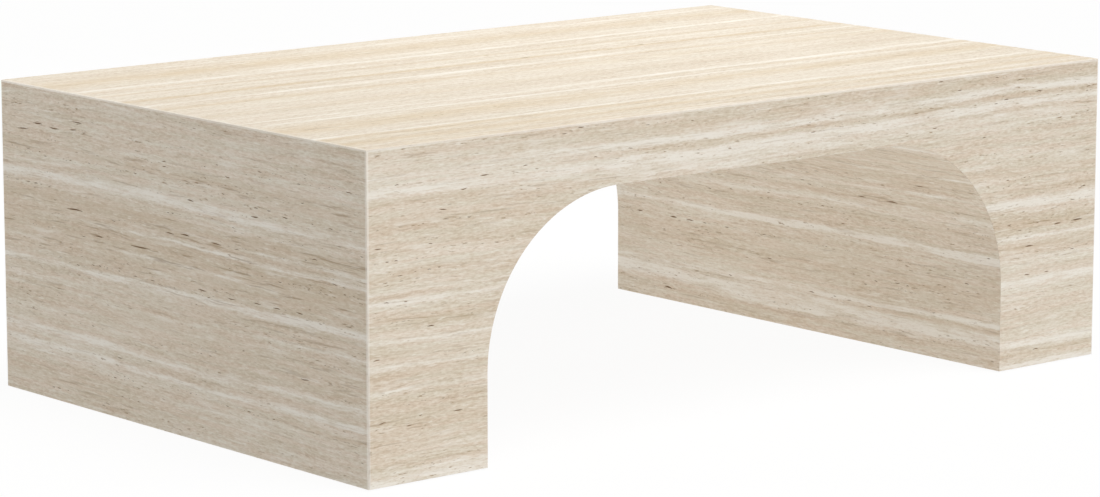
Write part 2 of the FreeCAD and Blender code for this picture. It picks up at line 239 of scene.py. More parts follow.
class Panel:
    """One slab: its outline on the face, the kind of each edge, and how the face lies in space."""

    def __init__(self, node, outline, kinds, place, bends=()):
        self.node = node
        self.outline = np.asarray(outline, float)
        self.kinds = kinds
        self.place = place
        self.bends = bends

    def ring(self, depth):
        return inset_outline(self.outline, [edge_inset(kind, depth) for kind in self.kinds])

    def spread_ring(self, level):
        """Where a ring lies when the rounded edge is laid out flat, and the sides made narrow."""
        insets = []
        for kind in self.kinds:
            laid = edge_inset(kind, 0)
            for upper, lower in zip(LEVELS[:level], LEVELS[1:level + 1]):
                across = edge_inset(kind, lower) - edge_inset(kind, upper)
                run = math.hypot(across, lower - upper)
                laid -= run * (MAP_SIDE_SHARE if lower == slab else 1)
            insets.append(laid)
        return inset_outline(self.outline, insets)

    def turned(self):
        """Whether triangles drawn anticlockwise on the face point into the slab."""
        middle = self.outline.mean(0)
        step = MM
        u = np.array([middle[0], middle[0] + step, middle[0], middle[0]])
        v = np.array([middle[1], middle[1], middle[1] + step, middle[1]])
        corner, along, across, under = self.place(u, v, np.array([0, 0, 0, step]))
        return np.dot(np.cross(along - corner, across - corner), under - corner) > 0


def cut_up(panel, points, edges):
    """Triangles that follow the edges, inside the outline that the first points make."""
    outline = [list(range(len(panel.outline)))]
    made, _, faces, came_from, _, _ = delaunay_2d_cdt(points, edges, outline, INSIDE, MERGE_WITHIN)
    if len(made) != len(points) or not all(came_from):
        raise RuntimeError(f"{panel.node}: the pits cross each other or the edge")
    return np.array([ids[0] for ids in came_from])[np.array(faces)]


def draw_face(panel, pits):
    """The face's points, with the depth, darkness and pit of each, and its triangles."""
    points = panel.ring(0).tolist()
    marks = [(0, 0, NO_PIT)] * len(points)
    edges = list(panel.bends)
    for number, row in enumerate(pits.rows):
        for ring, depth, shade in pits.rings(*row):
            first = len(points)
            points += ring.tolist()
            marks += [(depth, shade, number)] * len(ring)
            edges += [(first + i, first + (i + 1) % len(ring)) for i in range(len(ring))]
    return np.array(points), np.array(marks).T, cut_up(panel, points, edges)


def close_slab(panel, flat, marks, faces):
    """The whole slab as arrays: the face, its rounded edges, its sides and its back."""
    # A row is a point's place along, across and deep, its place on the map, its arris, which marks where
    # the highlight is painted, and its darkness
    count = len(panel.outline)
    sunk, dark, owner = marks
    rows = [np.column_stack([flat, sunk, flat, np.zeros(len(flat)), dark])]
    owners = owner[faces]
    in_one_pit = (owners != NO_PIT).all(1) & (owners == owners[:, :1]).all(1)
    tris, parts = [faces], [np.where(in_one_pit, PIT, SURFACE)]
    on_arris = np.array([kind == ARRIS for kind in panel.kinds])
    near_arris = on_arris | np.roll(on_arris, 1)
    round_until = np.array([rounded_depth(kind) for kind in panel.kinds]) + NEAR
    above = np.arange(count)
    below = len(flat) + above
    for level, deep in enumerate(LEVELS[1:], 1):
        depth, plain = np.full(count, deep), np.zeros(count)
        rows.append(np.column_stack([panel.ring(deep), depth, panel.spread_ring(level), near_arris, plain]))
        next_above, next_below = np.roll(above, -1), np.roll(below, -1)
        tris.append(np.stack([above, below, next_above], 1))
        tris.append(np.stack([next_above, below, next_below], 1))
        parts += [np.where(deep <= round_until, ROUND, SIDE)] * 2
        above, below = below, below + count
    tris.append(above[cut_up(panel, panel.ring(slab).tolist(), panel.bends)][:, ::-1])
    parts.append(np.full(len(tris[-1]), BACK))
    rows = np.concatenate(rows)
    return {
        "flat": rows[:, :2],
        "depth": rows[:, 2],
        "map": rows[:, 3:5],
        "arris": rows[:, 5],
        "dark": rows[:, 6],
        "tris": np.concatenate(tris),
        "parts": np.concatenate(parts),
    }


def fit_map(points, low, high):
    """The points stretched to fill a box on the map."""
    least, most = points.min(0), points.max(0)
    return low + (points - least) / (most - least) * np.subtract(high, low)


def lay_map(mesh, arrays, corners):
    """The map: the face with its edges laid out round it, and the back in a strip above."""
    edge = MAP_MARGIN_SHARE
    front = fit_map(arrays["map"], (edge, edge), (1 - edge, MAP_FRONT_SHARE - edge))
    rear = fit_map(arrays["flat"], (edge, MAP_FRONT_SHARE + edge), (1 - edge, 1 - edge))
    at_back = np.repeat(arrays["parts"] == BACK, 3)[:, None]
    places = np.where(at_back, rear[corners], front[corners])
    layer = mesh.uv_layers.new(name=MAP_NAME)
    layer.uv.foreach_set("vector", places.astype(np.float32).ravel())


def mark_sharp(mesh, parts):
    """Edges between the face, pits, rounded edges, sides and back stay crisp."""
    edge_of_corner = np.empty(len(mesh.loops), np.int32)
    mesh.loops.foreach_get("edge_index", edge_of_corner)
    part_of_corner = np.repeat(parts, 3)
    least = np.full(len(mesh.edges), BACK + 1)
    most = np.full(len(mesh.edges), -1)
    np.minimum.at(least, edge_of_corner, part_of_corner)
    np.maximum.at(most, edge_of_corner, part_of_corner)
    sharp = mesh.attributes.new("sharp_edge", "BOOLEAN", "EDGE")
    sharp.data.foreach_set("value", least != most)


def put_in_scene(name, data):
    """A new object in the scene for a mesh, a lamp or a camera."""
    thing = bpy.data.objects.new(name, data)
    bpy.context.scene.collection.objects.link(thing)
    return thing


def build_slab(panel, pits, material, name):
    """One slab as a piece that takes the place of its solid."""
    arrays = close_slab(panel, *draw_face(panel, pits))
    flat = arrays["flat"]
    places = panel.place(*flat.T, arrays["depth"])
    tris = arrays["tris"]
    if panel.turned():
        tris = tris[:, ::-1]
    mesh = bpy.data.meshes.new(name)
    mesh.from_pydata(places.tolist(), [], tris.tolist())
    mesh.polygons.foreach_set("use_smooth", np.ones(len(tris), bool))
    mark_sharp(mesh, arrays["parts"])
    grain = mesh.attributes.new("grain", "FLOAT_VECTOR", "POINT")
    laid = np.column_stack([flat, np.zeros(len(flat))])
    grain.data.foreach_set("vector", laid.astype(np.float32).ravel())
    for label in ("dark", "arris"):
        attribute = mesh.attributes.new(label, "FLOAT", "POINT")
        attribute.data.foreach_set("value", arrays[label].astype(np.float32))
    lay_map(mesh, arrays, tris.ravel())
    mesh.materials.append(material)
    piece = put_in_scene(name, mesh)
    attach(piece, "root")
    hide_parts(panel.node)


# The faces of the block and of the arch, each with its own along, across and inward directions

def flat_place(origin, along, across, inward):
    """A flat face in space, by its corner and directions."""

    def place(u, v, depth):
        return origin + np.outer(u, along) + np.outer(v, across) + np.outer(depth, inward)

    return place


def lining_place(u, s, depth):
    """From a place on the unrolled lining of the arch to where it lies in the table."""
    radius = arch_radius + depth
    right_turn = (s - curve_start) / arch_radius
    left_turn = (s - crown_end) / arch_radius
    zones = [s < curve_start, s < crown_start, s < crown_end, s < curve_end]
    x = np.select(zones, [
        arch_half_width + depth,
        flat_half + radius * np.cos(right_turn),
        flat_half - (s - crown_start),
        -flat_half - radius * np.sin(left_turn),
    ], -arch_half_width - depth)
    z = np.select(zones, [
        s,
        spring + radius * np.sin(right_turn),
        crown + depth,
        spring + radius * np.cos(left_turn),
    ], spring - (s - curve_end))
    return np.stack([x, half_depth - u, z], 1)


def rectangle(width, low, high):
    return [(0, low), (width, low), (width, high), (0, high)]


def arch_outline():
    """The front face with its arch, from the left and the top, and the kind of each edge."""
    length = 2 * half_length
    foot = table_height - floor_gap
    spring_line = table_height - spring
    points = [(0, 0), (length, 0), (length, foot), (half_length + arch_half_width, foot)]
    steps = range(CURVE_STEPS + 1)
    right = [(1, math.pi / 2 * step / CURVE_STEPS) for step in steps]
    left = [(-1, math.pi / 2 * (1 - step / CURVE_STEPS)) for step in steps]
    for side, turn in right + left:
        out = flat_half + arch_radius * math.cos(turn)
        points.append((half_length + side * out, spring_line - arch_radius * math.sin(turn)))
    points += [(half_length - arch_half_width, foot), (0, foot)]
    return points, [ARRIS, ARRIS, FOOT] + [ARCH_EDGE] * (2 * len(steps) + 1) + [FOOT, ARRIS]


def curve_panel(node, low, high):
    """A quarter round of the lining, with a row of points along each curved edge."""
    width = 2 * half_depth
    steps = [low + (high - low) * step / CURVE_STEPS for step in range(CURVE_STEPS + 1)]
    points = [(width, s) for s in steps] + [(0, s) for s in reversed(steps)]
    kinds = [ARCH_EDGE] * CURVE_STEPS + [BUTT] + [ARCH_EDGE] * CURVE_STEPS + [BUTT]
    bends = [(step, len(points) - 1 - step) for step in range(1, CURVE_STEPS)]
    return Panel(node, points, kinds, lining_place, bends)


def lining_panel(node, low, high, low_kind, high_kind):
    points = rectangle(2 * half_depth, low, high)
    return Panel(node, points, [low_kind, ARCH_EDGE, high_kind, ARCH_EDGE], lining_place)


def end_panel(node, side):
    points = rectangle(2 * half_depth, 0, table_height - floor_gap)
    origin = (side * half_length, half_depth, table_height)
    place = flat_place(origin, (0, -1, 0), (0, 0, -1), (-side, 0, 0))
    return Panel(node, points, [ARRIS, ARRIS, FOOT, ARRIS], place)


def fascia_panel(node, side):
    points, kinds = arch_outline()
    origin = (-half_length, side * half_depth, table_height)
    place = flat_place(origin, (1, 0, 0), (0, 0, -1), (0, -side, 0))
    return Panel(node, points, kinds, place)


def top_panel():
    points = rectangle(2 * half_length, 0, 2 * half_depth)
    place = flat_place((-half_length, half_depth, table_height), (1, 0, 0), (0, -1, 0), (0, 0, -1))
    return Panel("top_slab", points, [ARRIS] * 4, place)


PANELS = {
    "top": top_panel(),
    "front": fascia_panel("front_fascia", -1),
    "back": fascia_panel("back_fascia", 1),
    "left_end": end_panel("left_end_slab", -1),
    "right_end": end_panel("right_end_slab", 1),
    "right_liner": lining_panel("right_leg_liner", floor_gap, curve_start, FOOT, BUTT),
    "right_curve": curve_panel("right_arch_curve", curve_start, crown_start),
    "soffit": lining_panel("soffit_slab", crown_start, crown_end, BUTT, BUTT),
    "left_curve": curve_panel("left_arch_curve", crown_end, curve_end),
    "left_liner": lining_panel("left_leg_liner", curve_end, lining_end - floor_gap, BUTT, FOOT),
}


# Pits: the plain ones as (along, across, length) in millimetres, and bands that smaller ones gather in

PLAIN_PITS = {
    "left_end": [
        (50, 57, 24), (84, 47, 22), (121, 49, 20), (145, 53, 8), (174, 36, 20), (164, 46, 16), (188, 47, 8),
        (164, 147, 36), (170, 140, 9), (120, 140, 7), (35, 124, 8), (60, 124, 10), (108, 125, 6),
        (402, 147, 18), (466, 149, 20), (370, 149, 18), (250, 150, 8), (508, 150, 9), (306, 175, 42),
        (218, 174, 18), (183, 178, 9), (491, 65, 10), (605, 99, 11), (545, 106, 14), (414, 103, 14),
        (436, 210, 16), (465, 211, 20), (496, 212, 16), (548, 210, 14), (587, 210, 14), (611, 212, 16),
        (632, 209, 14), (727, 211, 12), (130, 212, 8), (295, 213, 9), (332, 213, 9), (662, 141, 11),
        (645, 144, 5), (700, 165, 12), (718, 166, 7), (258, 321, 11), (322, 315, 10), (138, 285, 7),
        (641, 287, 16), (470, 53, 5), (360, 62, 10), (752, 125, 6), (710, 119, 8), (100, 87, 6),
    ],
    "front": [
        (322, 5, 10), (400, 38, 8), (527, 3, 7), (563, 2, 10), (236, 42, 7), (174, 47, 12), (345, 43, 6),
        (143, 60, 10), (112, 81, 12), (151, 94, 6), (16, 117, 10), (93, 119, 6), (91, 149, 6),
        (106, 148, 4), (8, 147, 6), (28, 181, 8), (56, 183, 5), (93, 216, 10), (175, 250, 6), (13, 247, 10),
        (21, 322, 10), (133, 322, 14), (173, 322, 7), (60, 330, 8), (77, 320, 5), (500, 14, 5), (926, 5, 9),
        (960, 19, 8), (1046, 39, 10), (1107, 33, 12), (1201, 35, 8), (702, 48, 8), (916, 64, 8),
        (1006, 85, 7), (965, 122, 6), (870, 111, 5), (1195, 168, 10), (1184, 212, 20), (1147, 213, 14),
        (1032, 213, 9), (1043, 217, 5), (1024, 205, 12), (1056, 205, 8), (1094, 237, 15), (1176, 250, 7),
        (1128, 275, 8), (1091, 275, 10), (1054, 380, 12), (1110, 377, 10), (1208, 378, 10), (1024, 243, 5),
    ],
    "right_liner": [
        (405, 56, 10), (170, 52, 10), (110, 20, 16), (240, 56, 7), (320, 91, 9), (530, 89, 6),
        (571, 92, 10), (590, 91, 5), (510, 82, 5), (700, 110, 8), (640, 62, 6),
    ],
    "right_curve": [
        (120, 117, 13), (155, 117, 14), (186, 116, 7), (232, 120, 9), (48, 119, 12), (412, 218, 9),
        (522, 211, 14), (545, 209, 20), (580, 209, 20), (312, 178, 7), (206, 175, 7), (252, 181, 6),
        (436, 182, 6), (742, 152, 6), (470, 158, 8), (575, 236, 10), (650, 246, 16), (330, 190, 6),
    ],
    "top": [
        (500, 268, 14), (646, 268, 17), (850, 268, 13), (618, 222, 9), (94, 275, 8), (142, 172, 6),
        (375, 65, 7), (1155, 110, 9), (1156, 605, 9), (715, 297, 6), (560, 722, 10), (604, 722, 8),
        (137, 680, 8), (790, 705, 7), (330, 590, 6), (940, 520, 6),
    ],
}
# The number of chains of small pits, and the bands that they gather in, as (across, half width)
PIT_BANDS = {
    "top": (50, [(272, 7), (218, 6), (360, 10), (676, 6), (715, 9), (600, 14), (100, 20)]),
    "front": (83, [(42, 3), (12, 7), (94, 9), (150, 8), (205, 6), (216, 3), (250, 6), (325, 9), (376, 3)]),
    "back": (76, [(24, 6), (61, 4), (118, 8), (150, 5), (188, 7), (243, 6), (290, 10), (352, 7)]),
    "left_end": (93, [(50, 8), (85, 5), (104, 4), (124, 4), (147, 4), (176, 5), (212, 3), (287, 8),
                      (345, 8)]),
    "right_end": (76, [(36, 6), (78, 4), (132, 9), (171, 4), (226, 6), (262, 4), (318, 9), (362, 5)]),
    "right_liner": (20, [(20, 9), (57, 5), (90, 9)]),
    "right_curve": (43, [(118, 5), (178, 6), (209, 5), (240, 7), (300, 12), (380, 14)]),
    "soffit": (43, [(480, 9), (560, 6), (640, 14), (731, 7), (820, 9)]),
    "left_curve": (40, [(930, 9), (1010, 7), (1086, 6), (1150, 8), (1190, 5)]),
    "left_liner": (16, [(1240, 6), (1270, 5), (1300, 9)]),
}
PIT_MARGIN = 4.5 * MM
EDGE_ROOM_SHARE = 1.2
PLAIN_LENGTHENING = 1.35
PLAIN_WIDTH_SHARES = (0.065, 0.11)
PLAIN_WIDTHS = (MM, 2.2 * MM)
PLAIN_WIDENING = {"top": 2.7, "front": 1.35, "right_liner": 1.45, "right_curve": 1.45}
CHAIN_WIDENING = {"top": 2.7}
# A chain's pits, their sizes, and in millimetres how they wander and the gaps between them
STRAY_SHARE = 0.3
ROW_SPREAD_SHARE = 0.5
CHAIN_PITS = (2, 7)
SMALL_LENGTH = 2.2 * MM
SMALL_LENGTH_SPREAD = 0.75
LONGEST_SMALL = 12 * MM
SMALL_WIDTH_SHARES = (0.1, 0.24)
SMALL_WIDTHS = (0.45 * MM, 1.3 * MM)
CHAIN_WANDER = 0.7
CHAIN_GAP = 7


def clear_of_edges(panel, along, across, long):
    """Whether a pit stays inside the face, away from its edges."""
    reach_along = long / 2 * EDGE_ROOM_SHARE + PIT_MARGIN
    low, high = panel.outline.min(0), panel.outline.max(0)
    if not low[0] + reach_along < along < high[0] - reach_along:
        return False
    if not low[1] + PIT_MARGIN < across < high[1] - PIT_MARGIN:
        return False
    up = table_height - across
    out = abs(along - half_length)
    if panel.node not in ("front_fascia", "back_fascia") or up > crown + PIT_MARGIN:
        return True
    corner = math.hypot(max(out - flat_half - reach_along, 0), max(up - spring, 0))
    return out >= flat_half and corner > arch_radius + PIT_MARGIN


def between_bends(panel, across):
    """On a curved slab a pit lies between two bends, so that it doesn't cross one."""
    if not panel.bends:
        return across
    low, high = panel.outline[:, 1].min(), panel.outline[:, 1].max()
    step = (high - low) / CURVE_STEPS
    strip = min(max(math.floor((across - low) / step), 1), CURVE_STEPS - 2)
    return low + (strip + 0.5) * step


def width_for(random, long, shares, widths):
    """A random width for a pit of some length, within the least and the greatest."""
    least, most = widths
    return min(max(long * random.uniform(*shares), least), most)


def add_plain_pits(pits, face, panel):
    """The larger pits, each at its own place."""
    for along, across, long in PLAIN_PITS.get(face, []):
        across = between_bends(panel, across * MM)
        long *= PLAIN_LENGTHENING * MM
        wide = width_for(pits.random, long, PLAIN_WIDTH_SHARES, PLAIN_WIDTHS)
        pits.add(along * MM, across, long, wide * PLAIN_WIDENING.get(face, 1))


def add_chains(pits, face, panel):
    """Rows of small pits, one behind another along a bed."""
    random = pits.random
    chains, bands = PIT_BANDS[face]
    low, high = panel.outline.min(0), panel.outline.max(0)
    for _ in range(chains):
        centre, half = bands[random.integers(len(bands))]
        row = (centre + half * random.normal(0, ROW_SPREAD_SHARE)) * MM
        if random.uniform() < STRAY_SHARE:
            row = random.uniform(low[1], high[1])
        along = random.uniform(low[0], high[0])
        for _ in range(random.integers(*CHAIN_PITS)):
            long = min(SMALL_LENGTH * math.exp(abs(random.normal(0, SMALL_LENGTH_SPREAD))), LONGEST_SMALL)
            wide = width_for(random, long, SMALL_WIDTH_SHARES, SMALL_WIDTHS)
            across = between_bends(panel, row + random.normal(0, CHAIN_WANDER) * MM)
            pits.add(along, across, long, wide * CHAIN_WIDENING.get(face, 1))
            along += long + random.exponential(CHAIN_GAP) * MM


def make_pits(face, panel):
    """All pits of a face, from its own seed."""
    pits = Pits(face, panel)
    add_plain_pits(pits, face, panel)
    add_chains(pits, face, panel)
    return pits


# Colours, as red, green and blue on the screen

GROUND_STOPS = (0, 0.3, 0.52, 0.8, 1)
ROSE_GROUND = [(195, 172, 146), (210, 191, 168), (222, 207, 188), (233, 222, 207), (241, 233, 221)]
REED_GROUND = [(191, 174, 147), (208, 194, 171), (220, 209, 190), (231, 224, 209), (240, 234, 222)]
TAN = (195, 173, 141)
TOP_TAN = (204, 179, 134)
BROWN = (156, 129, 95)
VEIN_WHITE = (243, 238, 228)
PIT_BROWN = (124, 97, 67)
# A painted highlight, the pale colour laid along the eased outer edges
ARRIS_HIGHLIGHT = (246, 240, 231)


def linear(colour):
    """A screen colour as the light it stands for."""
    levels = [level / 255 for level in colour]
    light = [c / 12.92 if c <= 0.04045 else ((c + 0.055) / 1.055) ** 2.4 for c in levels]
    return (*light, 1)


def linear_stops(places, colours):
    return [(place, linear(colour)) for place, colour in zip(places, colours)]


# Sockets of the node that mixes colours
MIX_FIRST = 6
MIX_SECOND = 7
MIX_RESULT = 2


class Nodes:
    """A material or the world being wired up, with short names for the nodes it uses."""

    def __init__(self, owner):
        self.owner = owner
        owner.use_nodes = True
        self.tree = owner.node_tree
        self.tree.nodes.clear()

    def add(self, kind, inputs, **settings):
        """The outputs of a new node, with values or links for its inputs."""
        node = self.tree.nodes.new("ShaderNode" + kind)
        for name, value in settings.items():
            setattr(node, name, value)
        for socket, value in inputs.items():
            if isinstance(value, bpy.types.NodeSocket):
                self.tree.links.new(value, node.inputs[socket])
            else:
                node.inputs[socket].default_value = value
        return node.outputs

    def math(self, operation, result, *others):
        """The operation on the first two values, then on its result and the next."""
        for other in others:
            result = self.add("Math", {0: result, 1: other}, operation=operation)[0]
        return result

    def multiply(self, *values):
        return self.math("MULTIPLY", *values)

    def attribute(self, name, output="Fac"):
        return self.add("Attribute", {}, attribute_name=name)[output]

    def noise(self, place, shift, along, across, detail, roughness=0.55):
        """Noise with its two directions scaled apart, so that it lies long along the veins."""
        stretch = {"Vector": place, "Location": shift, "Scale": (along, across, 1)}
        stretched = self.add("Mapping", stretch)[0]
        kind = {"Vector": stretched, "Scale": 1, "Detail": detail, "Roughness": roughness}
        return self.add("TexNoise", kind)["Fac"]

    def map_line(self, value, low, high, start, end, kind="LINEAR"):
        """A straight run from start to end as the value goes from low to high."""
        inputs = dict(enumerate((value, low, high, start, end)))
        return self.add("MapRange", inputs, interpolation_type=kind)[0]

    def rise(self, value, low, high, start=0, end=1):
        """The same run as a smooth step."""
        return self.map_line(value, low, high, start, end, "SMOOTHSTEP")

    def spread(self, value, start, end):
        """A value from nought to one laid out from start to end."""
        return self.map_line(value, 0, 1, start, end)

    def sway(self, value, reach):
        """A value from nought to one laid out to both sides of nought."""
        return self.spread(value, -reach, reach)

    def ramp(self, value, stops):
        output = self.add("ValToRGB", {0: value})["Color"]
        elements = output.node.color_ramp.elements
        while len(elements) < len(stops):
            elements.new(1)
        for element, (position, colour) in zip(elements, stops):
            element.position = position
            element.color = colour
        return output

    def blend(self, share, first, second):
        inputs = {0: share, MIX_FIRST: first, MIX_SECOND: second}
        return self.add("Mix", inputs, data_type="RGBA")[MIX_RESULT]

    def finish(self, colour, roughness, height, relief, others=()):
        """The surface itself, with a relief as deep as given."""
        bump = self.add("Bump", {"Distance": relief, "Height": height})[0]
        look = {"Base Color": colour, "Roughness": roughness, "Normal": bump, **dict(others)}
        shader = self.add("BsdfPrincipled", look)[0]
        self.add("OutputMaterial", {0: shader})


# Veins, as (across, half width, strength), in columns by their place along the face, in millimetres

WHITE_VEINS = {
    "left_end": {
        180: [(111, 8, 0.6), (223, 5, 0.7), (309, 6, 0.85), (329, 7, 0.8), (339, 3, 0.5), (94, 3, 0.3),
              (245, 4, 0.35), (161, 3, 0.3)],
        430: [(109, 10, 1.3), (132, 3, 0.5), (162, 5, 0.6), (189, 4, 0.6), (221, 6, 0.95), (311, 5, 0.6),
              (329, 5, 0.6), (357, 5, 0.4)],
        660: [(114, 5, 0.55), (151, 4, 0.6), (163, 5, 0.6), (219, 6, 1), (247, 3, 0.5), (305, 5, 0.6),
              (327, 5, 0.75), (360, 5, 0.45)],
    },
    "front": {
        80: [(20, 14, 0.3), (38, 6, 0.5), (54, 9, 0.8), (184, 7, 0.55), (171, 3, 0.5), (230, 4, 0.65),
             (260, 5, 0.5), (288, 5, 0.65), (383, 4, 0.5), (393, 6, 0.8)],
        560: [(31, 6, 0.9), (53, 10, 1), (69, 8, 0.55)],
        830: [(29, 7, 0.95), (49, 8, 0.9), (66, 8, 0.45)],
        1110: [(26, 6, 0.8), (45, 8, 0.8), (61, 5, 0.4), (177, 8, 1.1), (224, 4, 0.6), (254, 4, 0.5),
               (284, 7, 0.7), (364, 6, 0.7), (391, 6, 0.8)],
    },
    "top": {
        230: [(22, 4, 0.4), (163, 7, 0.8), (205, 4, 0.4), (318, 7, 1), (470, 4, 0.4), (512, 5, 0.6),
              (539, 5, 0.8), (660, 6, 0.8), (752, 5, 0.5)],
        600: [(40, 6, 0.6), (163, 7, 0.7), (255, 5, 0.6), (318, 8, 1), (505, 7, 0.9), (539, 5, 0.8),
              (660, 6, 0.8), (755, 5, 0.6)],
        1000: [(40, 6, 0.6), (161, 8, 1), (230, 4, 0.4), (305, 7, 0.7), (504, 8, 1), (537, 4, 0.5),
               (658, 7, 1), (740, 5, 0.5)],
    },
    "right_lining": {
        150: [(42, 12, 0.9), (58, 4, 0.4), (148, 4, 1), (192, 5, 0.4), (257, 5, 0.4), (330, 6, 0.6),
              (402, 8, 0.7)],
        420: [(39, 17, 1.1), (60, 4, 0.7), (95, 8, 0.25), (148, 5, 1.3), (194, 4, 0.5), (228, 5, 0.4),
              (300, 5, 0.5), (402, 8, 0.8)],
        650: [(36, 12, 0.9), (59, 4, 1), (148, 6, 1.4), (200, 4, 0.4), (230, 6, 0.5), (270, 4, 0.5),
              (350, 7, 0.7)],
    },
    "crown": {
        160: [(470, 6, 0.7), (520, 8, 0.9), (611, 5, 0.5), (668, 8, 0.8), (764, 6, 0.8), (850, 5, 0.6)],
        600: [(466, 7, 0.9), (524, 6, 0.6), (590, 5, 0.6), (671, 9, 1), (702, 4, 0.5), (858, 7, 0.8)],
    },
    "left_lining": {
        190: [(905, 6, 0.7), (962, 8, 1), (1042, 5, 0.6), (1106, 6, 0.9), (1178, 5, 0.5), (1222, 7, 0.9),
              (1288, 5, 0.7)],
        590: [(912, 5, 0.5), (966, 7, 0.8), (1012, 4, 0.5), (1101, 8, 1), (1146, 4, 0.4), (1226, 6, 0.7),
              (1252, 5, 0.7), (1308, 6, 0.8)],
    },
    "back": {
        150: [(33, 5, 0.8), (72, 7, 0.9), (139, 4, 0.5), (168, 6, 0.9), (231, 5, 0.7), (268, 7, 0.9),
              (331, 5, 0.6), (372, 6, 0.9)],
        600: [(14, 4, 0.5), (35, 6, 0.9), (68, 8, 1)],
        1080: [(31, 5, 0.7), (66, 6, 0.9), (102, 4, 0.5), (160, 7, 1), (212, 5, 0.6), (262, 6, 0.9),
               (300, 4, 0.5), (345, 7, 0.9)],
    },
    "right_end": {
        170: [(21, 4, 0.5), (62, 7, 0.9), (108, 4, 0.5), (156, 7, 1), (203, 5, 0.6), (247, 7, 0.9),
              (290, 4, 0.6), (338, 7, 0.8), (380, 5, 0.6)],
        580: [(58, 6, 0.7), (93, 5, 0.7), (152, 8, 0.9), (199, 4, 0.5), (241, 6, 0.8), (275, 5, 0.6),
              (333, 6, 0.9), (371, 6, 0.8)],
    },
}
TAN_BEDS = {
    "left_end": {
        250: [(75, 9, 0.8), (138, 9, 1.1), (177, 6, 0.9), (100, 4, 0.5), (212, 5, 0.4), (265, 28, 0.35),
              (298, 5, 0.4), (372, 12, 0.4), (175, 50, 0.8)],
        620: [(78, 14, 0.8), (98, 5, 0.5), (138, 7, 0.8), (178, 10, 0.8), (203, 5, 0.6), (236, 9, 0.5),
              (270, 22, 0.5), (293, 6, 0.6), (343, 5, 0.5), (180, 55, 0.9)],
    },
    "front": {
        90: [(12, 9, 0.2), (68, 4, 0.5), (94, 10, 0.4), (120, 6, 0.3), (152, 9, 0.45), (205, 6, 0.65),
             (243, 3, 0.6), (270, 6, 0.3), (325, 16, 0.4), (350, 8, 0.35)],
        600: [(14, 7, 0.35), (41, 3, 0.45)],
        1110: [(12, 6, 0.35), (36, 3, 0.45), (55, 2, 0.35), (86, 3, 0.4), (138, 5, 0.6), (160, 5, 0.55),
               (206, 7, 0.9), (237, 4, 0.85), (270, 6, 0.4), (376, 4, 0.8)],
    },
    "top": {
        300: [(95, 34, 1), (182, 5, 0.7), (216, 6, 0.8), (274, 8, 1.6), (355, 12, 1), (440, 14, 0.4),
              (590, 36, 1.1), (676, 14, 1.2), (714, 18, 1.2), (750, 12, 0.8)],
        900: [(85, 26, 0.8), (216, 6, 1), (273, 7, 1.5), (332, 5, 1), (372, 16, 0.6), (522, 5, 0.9),
              (575, 24, 1), (680, 8, 1), (716, 10, 1.1), (750, 8, 0.6)],
    },
    "right_lining": {
        300: [(15, 10, 0.3), (52, 4, 0.5), (105, 30, 0.4), (178, 9, 0.5), (208, 7, 0.6), (240, 30, 0.45),
              (285, 12, 0.6), (365, 14, 0.5)],
        600: [(20, 8, 0.3), (51, 4, 0.6), (104, 30, 0.4), (178, 8, 0.5), (209, 7, 0.9), (250, 8, 0.7),
              (270, 40, 0.6), (318, 14, 0.7)],
    },
    "crown": {
        380: [(445, 8, 0.4), (495, 9, 0.6), (560, 16, 0.4), (640, 14, 0.6), (731, 8, 0.6), (815, 20, 0.4)],
    },
    "left_lining": {
        380: [(932, 12, 0.6), (1010, 9, 0.5), (1075, 9, 0.6), (1155, 14, 0.5), (1196, 6, 0.7),
              (1268, 9, 0.5)],
    },
    "back": {
        250: [(20, 6, 0.5), (52, 5, 0.8), (105, 14, 0.5), (152, 5, 0.6), (195, 12, 0.5), (250, 6, 0.7),
              (302, 16, 0.4), (352, 6, 0.7)],
        950: [(22, 6, 0.5), (50, 5, 0.7), (84, 8, 0.4), (133, 12, 0.5), (186, 9, 0.6), (240, 9, 0.5),
              (322, 9, 0.6), (374, 7, 0.4)],
    },
    "right_end": {
        380: [(40, 9, 0.5), (82, 6, 0.7), (130, 14, 0.5), (178, 8, 0.5), (224, 7, 0.7), (265, 6, 0.5),
              (312, 12, 0.5), (358, 6, 0.7)],
    },
}
VEIN_SPREAD = 1.3
# Patterns, as scales along and across, detail, and roughness where it isn't the usual one
# How the beds wave: pattern, and reach in millimetres
BED_WAVES = [((2.2, 7, 2, 0.5), 9.0), ((14, 50, 2, 0.5), 1.8), ((60, 120, 2, 0.5), 0.8)]
# How columns of veins run into each other: pattern, and reach in metres
FORK = (1, 38, 1, 0.5)
FORK_REACH = 0.22
# Each stone has its patterns shifted by this much more than the one before, some of them turned round
STONE_SHIFT = (3.7, 11.3, 5.1)
PATTERNS = {
    "layer": (5, 80, 3),
    "drift": (1.2, 14, 2),
    "mottle": (170, 480, 2, 0.6),
    "feather": (16, 340, 4, 0.66),
    "fibre": (110, 560, 2, 0.6),
    "thread": (9, 240, 3),
    "hue": (9, 130, 3),
    "cloud": (10, 60, 3),
    "ragged": (28, 300, 3, 0.6),
    "wisp": (14, 150, 3),
    "chip": (60, 460, 3),
    "line": (16, 300, 3),
    "dash": (75, 430, 2),
    "gather": (3, 55, 2),
}
TURNED = ("feather", "hue", "wisp", "chip", "gather")
# Smooth steps: from where to where, and from which level to which if not from nought to one
RISES = {
    "hue": (0.36, 0.64),
    "top_hue": (0.36, 0.64, 0.5),
    "cloud": (0.32, 0.6, 0.4, 1.3),
    "strand": (0.3, 0.6, 0.3, 1.05),
    "fleck": (0.3, 0.62, 0.65),
    "vein": (0.05, 0.8),
    "wisp": (0.54, 0.72),
    "chip": (0.58, 0.72),
    "line": (0.57, 0.7),
    "dash": (0.62, 0.74),
    "gather": (0.4, 0.62, 0.12, 0.85),
    "pit": (0.1, 0.9),
}
